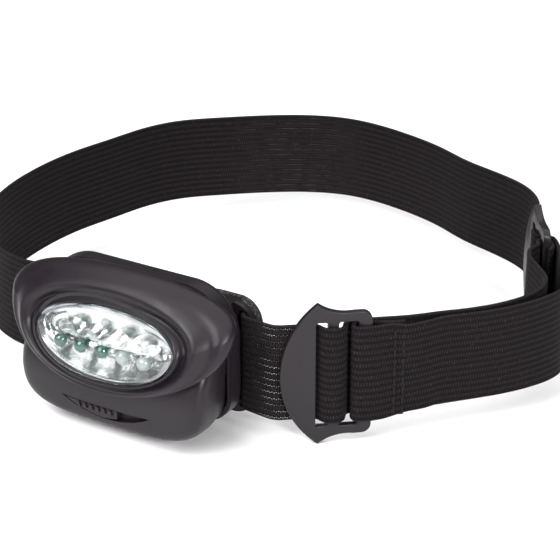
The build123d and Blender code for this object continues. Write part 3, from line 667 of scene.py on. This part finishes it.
def make_reflector(silver):
    """The silvered tray: a broad upper wall, stepped ends and a cup round each LED."""
    front = [(23.1, 7.2, 11.1, 11.0, 34.6, 30.8, 38.4), (22.5, 6.9, 10.6, 11.0, 34.2, 30.6, 37.6),
             (21.9, 6.6, 9.9, 10.8, 34.0, 30.5, 36.4), (21.7, 6.3, 9.2, 10.5, 33.0, 30.4, 35.6),
             (20.7, 5.9, 8.3, 10.0, 33.0, 30.3, 34.6), (20.5, 5.4, 7.3, 9.5, 32.2, 30.3, 33.8),
             (19.3, 4.8, 6.2, 9.0, 32.1, 30.2, 33.0), (18.9, 4.2, 4.6, 8.5, 31.0, 30.2, 31.2),
             (12.0, 2.5, 2.8, 7.6, 30.2, 30.2, 30.2), (0.1, 0.05, 0.05, 7.2, 30.2, 30.2, 30.2)]
    back = [(*station[:4], *(depth - 0.5 for depth in station[4:])) for station in front]
    rings = around_window(front) + around_window(back)[::-1]
    verts, faces = np.concatenate(rings), grid(len(rings), len(ANGLES), wrap_rows=True)
    verts, faces = [verts], list(faces)
    first = len(verts[0])
    for place in LED_PLACES:
        cup = lathe(CUP_PROFILE, place)
        verts.append(np.concatenate(cup))
        faces += grid(len(cup), len(cup[0]), wrap_rows=True, first=first)
        first += len(verts[-1])
    piece = new_piece("reflector_tray", np.concatenate(verts), faces, silver, "lamp_front")
    face_outwards(piece)
    smooth_by_angle(piece, 28)
    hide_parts("reflector")


def make_leds():
    """Each LED: a clear body, and inside it the coloured cup on its post."""
    teal = moulded_plastic("led_core_teal", (0.010, 0.085, 0.062), 0.35)
    # the cores of LEDs 4 and 5 are painted pale: a painted reflection that washes them out
    pale = moulded_plastic("led_core_painted_reflection", (0.36, 0.39, 0.38), 0.35)
    arc = np.linspace(0, math.pi / 2, 12)
    dome = [(LED_R * math.cos(t) + 0.001, LED_TIP - LED_R + LED_R * math.sin(t)) for t in arc]
    body = [(0.02, BOARD_FRONT + 0.05), (LED_R + 0.4, BOARD_FRONT + 0.05), (LED_R + 0.4, 30.0),
            (LED_R, 30.05)] + dome
    for number, place in enumerate(LED_PLACES, start=1):
        shell = new_piece(f"led_body_{number}", *closed_stack(lathe(body, place)), led_clear,
                          "lamp_front")
        face_outwards(shell)
        smooth_by_angle(shell, 40)
        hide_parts(f"led_{number}")
        inside = new_piece(f"led_core_{number}", *closed_stack(lathe(CORE_PROFILE, place, 28)),
                           teal if number <= 3 else pale, "lamp_front")
        face_outwards(inside)
        smooth_by_angle(inside, 40)


# ---- pieces that keep their CAD shape, with their edges softened --------------------------------
def softened(name, width, finish, body, piece_name=None):
    """A copy of a CAD node with its edges rounded, which stands for it."""
    shape = bmesh.new()
    shape.from_mesh(nodes[name].data)
    bmesh.ops.remove_doubles(shape, verts=shape.verts, dist=1e-6)
    bmesh.ops.dissolve_limit(shape, angle_limit=math.radians(1.0), verts=shape.verts,
                             edges=shape.edges)
    mesh = bpy.data.meshes.new(piece_name or name + "_moulded")
    shape.to_mesh(mesh)
    shape.free()
    mesh.materials.append(finish)
    piece = bpy.data.objects.new(piece_name or name + "_moulded", mesh)
    bpy.context.collection.objects.link(piece)
    piece.data.polygons.foreach_set("use_smooth", [True] * len(piece.data.polygons))
    bevel = piece.modifiers.new("soft_edges", "BEVEL")
    bevel.width, bevel.segments, bevel.limit_method = width / 1000, 3, "ANGLE"
    bevel.angle_limit = math.radians(32)
    bevel.harden_normals = True
    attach(piece, body)
    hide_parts(name)
    return piece


def finish_cad_nodes():
    """Better materials on the CAD nodes that stay."""
    finishes = {"rear_tray": housing, "tilt_pin": steel, "opening_pin": steel,
                "board_screws": steel, "contact_springs": nickel, "left_contacts": nickel,
                "right_contacts": nickel, "tray_seal": seal_rubber, "lens_gasket": seal_rubber,
                "circuit_board": board_mask, "resistors": resistor_lacquer,
                "switch_case": switch_plastic, "switch_actuator": switch_plastic,
                "strap_stitching": thread_material, "battery_1": sleeve, "battery_2": sleeve,
                "battery_3": sleeve}
    for name, finish in finishes.items():
        held = nodes[name].data.materials
        for index in range(len(held)):
            held[index] = finish


make_strap()
make_housing()
make_lens()
make_reflector(silver_material())
make_leds()
finish_cad_nodes()
softened("bracket", 0.45, bracket_plastic, "headband")
softened("buckle_front", 0.5, buckle_plastic, "headband")
softened("buckle_rear", 0.5, buckle_plastic, "headband")
softened("switch_slider", 0.22, slider_plastic, "switch")
pad = softened("forehead_pad", 0.9, foam, "headband", "foam_pad")


# ---- camera, light and floor --------------------------------------------------------------------
AZIMUTH, ELEVATION = math.radians(31.2), math.radians(25.0)
LENS_MM, SENSOR_MM = 120.1, 36.0
CAMERA_ASIDE, CAMERA_BACK, CAMERA_Y, CAMERA_Z = 0.0348, 0.4896, -0.0073, 0.246      # metres
WORLD_AS_LIGHT, WORLD_AS_SEEN = 0.10, 1.0
right = Vector((math.cos(AZIMUTH), math.sin(AZIMUTH), 0))
ahead = Vector((-math.sin(AZIMUTH), math.cos(AZIMUTH), 0))
camera_data = bpy.data.cameras.new("camera")
camera_data.lens, camera_data.sensor_width = LENS_MM, SENSOR_MM
camera = bpy.data.objects.new("camera", camera_data)
bpy.context.collection.objects.link(camera)
camera.location = Vector((0, CAMERA_Y, CAMERA_Z)) + right * CAMERA_ASIDE - ahead * CAMERA_BACK
look = ahead * math.cos(ELEVATION) - Vector((0, 0, math.sin(ELEVATION)))
camera.rotation_euler = look.to_track_quat("-Z", "Y").to_euler()
bpy.context.scene.camera = camera


def area_light(name, place, size, power):
    """A square lamp at a place in metres, aimed at the origin."""
    data = bpy.data.lights.new(name, "AREA")
    data.energy, data.size = power, size
    light = bpy.data.objects.new(name, data)
    bpy.context.collection.objects.link(light)
    light.location = place
    light.rotation_euler = (-Vector(place)).to_track_quat("-Z", "Y").to_euler()


area_light("front_softbox", (-0.20, -0.70, 0.62), 0.55, 11.0)
overhead = bpy.data.lights.new("overhead_diffuser", "SUN")
overhead.energy, overhead.angle = 2.9, 1.5
overhead_light = bpy.data.objects.new("overhead_diffuser", overhead)
bpy.context.collection.objects.link(overhead_light)
overhead_light.rotation_euler = (math.radians(-6), 0, 0)
area_light("right_softbox", (0.62, -0.42, 0.34), 0.16, 5.0)

world = bpy.data.worlds.new("studio")
world.use_nodes = True
surroundings = world.node_tree.nodes["Background"]
surroundings.inputs["Color"].default_value = (1, 1, 1, 1)
sight = node(world.node_tree, "ShaderNodeLightPath")        # the backdrop is white, its light dim
link(world.node_tree, remap(world.node_tree, sight.outputs["Is Camera Ray"], 0, 1, WORLD_AS_LIGHT,
                            WORLD_AS_SEEN), surroundings.inputs["Strength"])
bpy.context.scene.world = world
bpy.context.scene.view_settings.view_transform = "Standard"

floor_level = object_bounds()[0].z * 1000 - FLOOR_GAP
floor_finish, floor_tree, floor_shader = material("pale_floor", (0.93, 0.93, 0.93), 0.6)
link(floor_tree, colour_between(floor_tree, object_noise(floor_tree, 40, 3), (0.925, 0.925, 0.925),
                                (0.94, 0.94, 0.94)), floor_shader.inputs["Base Color"])
floor_corners = [(-FLOOR_HALF, -FLOOR_HALF), (FLOOR_HALF, -FLOOR_HALF), (FLOOR_HALF, FLOOR_HALF),
                 (-FLOOR_HALF, FLOOR_HALF)]
floor = new_piece("floor", [(x, y, floor_level) for x, y in floor_corners], [(0, 1, 2, 3)],
                  floor_finish, None)
